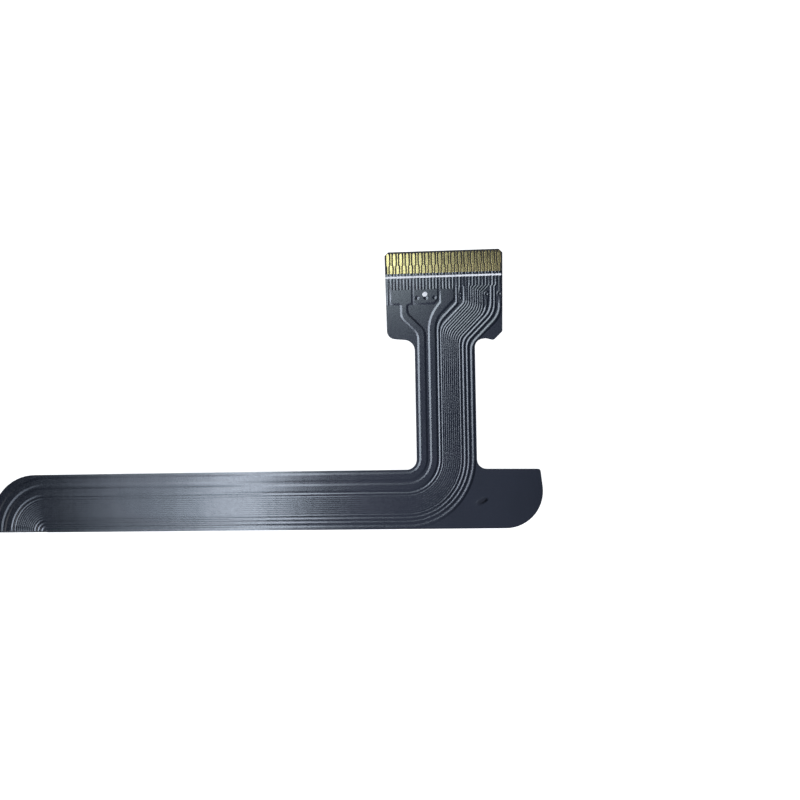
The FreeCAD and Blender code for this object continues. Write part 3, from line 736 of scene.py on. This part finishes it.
def print_dot(height, material):
    """The printed dot: a small round blob of ink, sunken a little in its middle."""
    bpy.ops.object.select_all(action="DESELECT")
    bpy.ops.mesh.primitive_circle_add(vertices=40, radius=1, fill_type="NGON")
    piece = bpy.context.active_object
    piece.name = "white_dot"
    bpy.ops.object.mode_set(mode="EDIT")
    for step in range(6):
        bpy.ops.mesh.inset(thickness=0.14)
    bpy.ops.object.mode_set(mode="OBJECT")
    middle = (DOT_LOW + DOT_HIGH) / 2
    radius = (DOT_HIGH.x - DOT_LOW.x) / 2
    for vert in piece.data.vertices:
        share = min(vert.co.xy.length, 1.0)
        heading = math.atan2(vert.co.y, vert.co.x)
        wobble = 1 + 0.05 * math.sin(2 * heading + 0.7) + 0.03 * math.sin(5 * heading)
        x = middle.x + vert.co.x * radius * wobble
        y = middle.y + vert.co.y * radius * wobble
        dome = 1 - share ** 4 - 0.5 * (1 - smooth(share / 0.45))
        vert.co = (x, y, height(x, y) + INK_THICKNESS * (0.15 + 0.85 * dome))
    close_ink(piece, material, "printed_dot")


# Operators: one for each piece or group of like pieces, and one for the stage

class FLEX_OT_cover_film(bpy.types.Operator):
    """Emboss the cover film over the copper"""
    bl_idname = "flex.cover_film"
    bl_label = "Cover film"

    def execute(self, context):
        emboss_film(bpy.data.materials["black_coverlay_film"])
        return {"FINISHED"}


class FLEX_OT_contacts(bpy.types.Operator):
    """Round the gold contact fingers"""
    bl_idname = "flex.contacts"
    bl_label = "Contact fingers"

    def execute(self, context):
        round_fingers(bpy.data.materials["plated_gold"])
        return {"FINISHED"}


class FLEX_OT_printed_marks(bpy.types.Operator):
    """Print the insertion line and the dot on the film"""
    bl_idname = "flex.printed_marks"
    bl_label = "Printed marks"

    def execute(self, context):
        height = film_height(bpy.data.objects["embossed_cover_film"])
        print_line(height, bpy.data.materials["white_screen_ink"])
        print_dot(height, bpy.data.materials["white_screen_ink"])
        return {"FINISHED"}


class FLEX_OT_finishes(bpy.types.Operator):
    """Make the materials and give them to the layers that keep their shape"""
    bl_idname = "flex.finishes"
    bl_label = "Finishes"

    def execute(self, context):
        finishes = {
            "copper": copper_material(),
            "gold": gold_material(),
            "dark_film": film_material(),
            "polyimide": base_film_material(),
            "stiffener": stiffener_material(),
            "adhesive": adhesive_material(),
            "white_ink": ink_material(),
        }
        tape = tape_material()
        for row in frame["record"]["subparts"]:
            materials = frame["nodes"][row["node"]].data.materials
            material = tape if row["node"] == "fold_tape" else finishes[row["material_slot"]]
            materials.clear()
            materials.append(material)
        return {"FINISHED"}


class FLEX_OT_stage(bpy.types.Operator):
    """Set the floor, the lights and the camera"""
    bl_idname = "flex.stage"
    bl_label = "Stage"

    def execute(self, context):
        settings = context.scene.flex_stage
        make_floor()
        make_camera(settings.lens)
        # The two panes of a long window at the upper left, which cross the strip as a soft bright band
        add_light("lower_pane", (-103, -43, 400), CABLE_MIDDLE, (22, 97), 6,
                  settings.window_radiance, "E4F0FF")
        add_light("upper_pane", (-81, 55, 400), CABLE_MIDDLE, (22, 107), 20.8,
                  settings.window_radiance, "E4F0FF")
        # What lies beside the window: its frame at the left, and the sill, which lights the contacts
        add_light("window_frame", (-127, 12, 402), CABLE_MIDDLE, (47, 210), 5,
                  settings.frame_radiance, "DCEBFF")
        add_light("sill", (-51, 66, 401), CABLE_MIDDLE, (24, 50), 0, settings.sill_radiance, "DDF0F4")
        # The ceiling, which gives the flat film its cold grey; right of it the room is dark
        add_light("ceiling", (-80, -62, 600), (-80, -62, 0), (150, 296), 0,
                  settings.ceiling_radiance, "CBD8FF")
        # The bright wall at the left, which lights every slope that faces it
        add_light("left_wall", (-420, -60, 330), (0, 0, 0), (420, 520), 0, settings.wall_radiance)
        # The plain room light at the right, which no part mirrors to the camera: white ink looks white
        add_light("room_lamp", (380, -150, 420), (0, 0, 0), (420, 420), 0, settings.lamp_radiance)
        make_world(settings.world_radiance)
        context.scene.view_settings.view_transform = "Standard"
        return {"FINISHED"}


# Stage

# The camera, in mm and degrees
CAMERA_PLACE = (35.288, -4.073, 148.544)
CAMERA_TURN = (1.071, 8.511, -1.016)

# What the window's lamps are aimed at, in mm
CABLE_MIDDLE = (-10, -4, 0)

# The floor lies this far under the cable, in mm, and is this wide, in metres
FLOOR_DROP = 0.002
FLOOR_SIZE = 4


def make_floor():
    """A plain pale floor under the cable, white to the camera, which keeps the cable's shadow."""
    bpy.ops.object.select_all(action="DESELECT")
    bpy.ops.mesh.primitive_plane_add(size=FLOOR_SIZE, location=(0, 0, -FLOOR_DROP * MM))
    floor = bpy.context.active_object
    floor.name = "floor"
    material = bpy.data.materials.new("pale_floor")
    material.use_nodes = True
    tree = material.node_tree
    tree.nodes.clear()
    seen = add_node(tree, "ShaderNodeLightPath", {}, {})
    flat = add_node(tree, "ShaderNodeBsdfDiffuse", {}, {"Color": linear("E6E6E4")})
    glow = add_node(tree, "ShaderNodeEmission", {}, {"Color": (1, 1, 1, 1), "Strength": 0.75})
    dark = add_node(tree, "ShaderNodeEmission", {}, {"Color": (0, 0, 0, 1), "Strength": 0.0})
    lift = add_node(tree, "ShaderNodeMixShader", {}, {
        0: seen.outputs["Is Camera Ray"], 1: dark.outputs[0], 2: glow.outputs[0]})
    both = add_node(tree, "ShaderNodeAddShader", {}, {0: flat.outputs[0], 1: lift.outputs[0]})
    add_node(tree, "ShaderNodeOutputMaterial", {}, {"Surface": both.outputs[0]})
    floor.data.materials.append(material)


def make_camera(lens):
    """Nearly overhead, a little to the right of the cable, as the picture was taken."""
    camera = bpy.data.cameras.new("camera")
    camera.lens = lens
    camera.sensor_width = 36
    camera.clip_start = 1 * MM
    holder = bpy.data.objects.new("camera", camera)
    bpy.context.scene.collection.objects.link(holder)
    holder.location = Vector(CAMERA_PLACE) * MM
    holder.rotation_euler = [math.radians(turn) for turn in CAMERA_TURN]
    bpy.context.scene.camera = holder


def add_light(name, place, target, size, turn, radiance, colour="F4F8FF"):
    """A rectangular lamp, in mm, with the brightness that its surface shows."""
    lamp = bpy.data.lights.new(name, "AREA")
    lamp.shape = "RECTANGLE"
    lamp.size = size[0] * MM
    lamp.size_y = size[1] * MM
    lamp.energy = radiance * math.pi * lamp.size * lamp.size_y
    lamp.color = linear(colour)[:3]
    holder = bpy.data.objects.new(name, lamp)
    bpy.context.scene.collection.objects.link(holder)
    back = (Vector(place) - Vector(target)).normalized()
    up = Vector((math.sin(math.radians(turn)), math.cos(math.radians(turn)), 0))
    right = up.cross(back).normalized()
    up = back.cross(right)
    turned = Matrix((right, up, back)).transposed().to_4x4()
    holder.matrix_world = Matrix.Translation(Vector(place) * MM) @ turned


def make_world(radiance):
    """A room that is brighter low down than overhead, and that the camera sees as white."""
    world = bpy.data.worlds.new("room")
    world.use_nodes = True
    tree = world.node_tree
    tree.nodes.clear()
    seen = add_node(tree, "ShaderNodeLightPath", {}, {})
    place = add_node(tree, "ShaderNodeTexCoord", {}, {}).outputs["Generated"]
    height = add_node(tree, "ShaderNodeSeparateXYZ", {}, {"Vector": place}).outputs["Z"]
    room = add_node(tree, "ShaderNodeBackground", {}, {
        "Color": linear("F4F7FF"), "Strength": between(tree, height, radiance, 0.03, 0.45, 0.8)})
    white = add_node(tree, "ShaderNodeBackground", {}, {"Color": (1, 1, 1, 1), "Strength": 1.0})
    mixed = add_node(tree, "ShaderNodeMixShader", {}, {
        0: seen.outputs["Is Camera Ray"], 1: room.outputs[0], 2: white.outputs[0]})
    add_node(tree, "ShaderNodeOutputWorld", {}, {"Surface": mixed.outputs[0]})
    bpy.context.scene.world = world


# Panel and registration

class FLEX_PT_panel(bpy.types.Panel):
    bl_label = "Flex cable"
    bl_idname = "FLEX_PT_panel"
    bl_space_type = "VIEW_3D"
    bl_region_type = "UI"
    bl_category = "Flex cable"

    def draw(self, context):
        for group in ("flex_film", "flex_contacts", "flex_print", "flex_stage"):
            settings = getattr(context.scene, group)
            for name in settings.__annotations__:
                self.layout.prop(settings, name)
        for operator in OPERATORS:
            self.layout.operator(operator.bl_idname)


GROUPS = {
    "flex_film": FilmSettings,
    "flex_contacts": ContactSettings,
    "flex_print": PrintSettings,
    "flex_stage": StageSettings,
}
OPERATORS = (
    FLEX_OT_stage,
    FLEX_OT_finishes,
    FLEX_OT_cover_film,
    FLEX_OT_contacts,
    FLEX_OT_printed_marks,
)


def register():
    for name, group in GROUPS.items():
        bpy.utils.register_class(group)
        setattr(bpy.types.Scene, name, bpy.props.PointerProperty(type=group))
    for operator in OPERATORS:
        bpy.utils.register_class(operator)
    bpy.utils.register_class(FLEX_PT_panel)


def unregister():
    bpy.utils.unregister_class(FLEX_PT_panel)
    for operator in reversed(OPERATORS):
        bpy.utils.unregister_class(operator)
    for name, group in reversed(GROUPS.items()):
        delattr(bpy.types.Scene, name)
        bpy.utils.unregister_class(group)


def main():
    register()
    bpy.ops.flex.stage()
    bpy.ops.flex.finishes()
    bpy.ops.flex.cover_film()
    bpy.ops.flex.contacts()
    bpy.ops.flex.printed_marks()


if __name__ == "__main__":
    main()
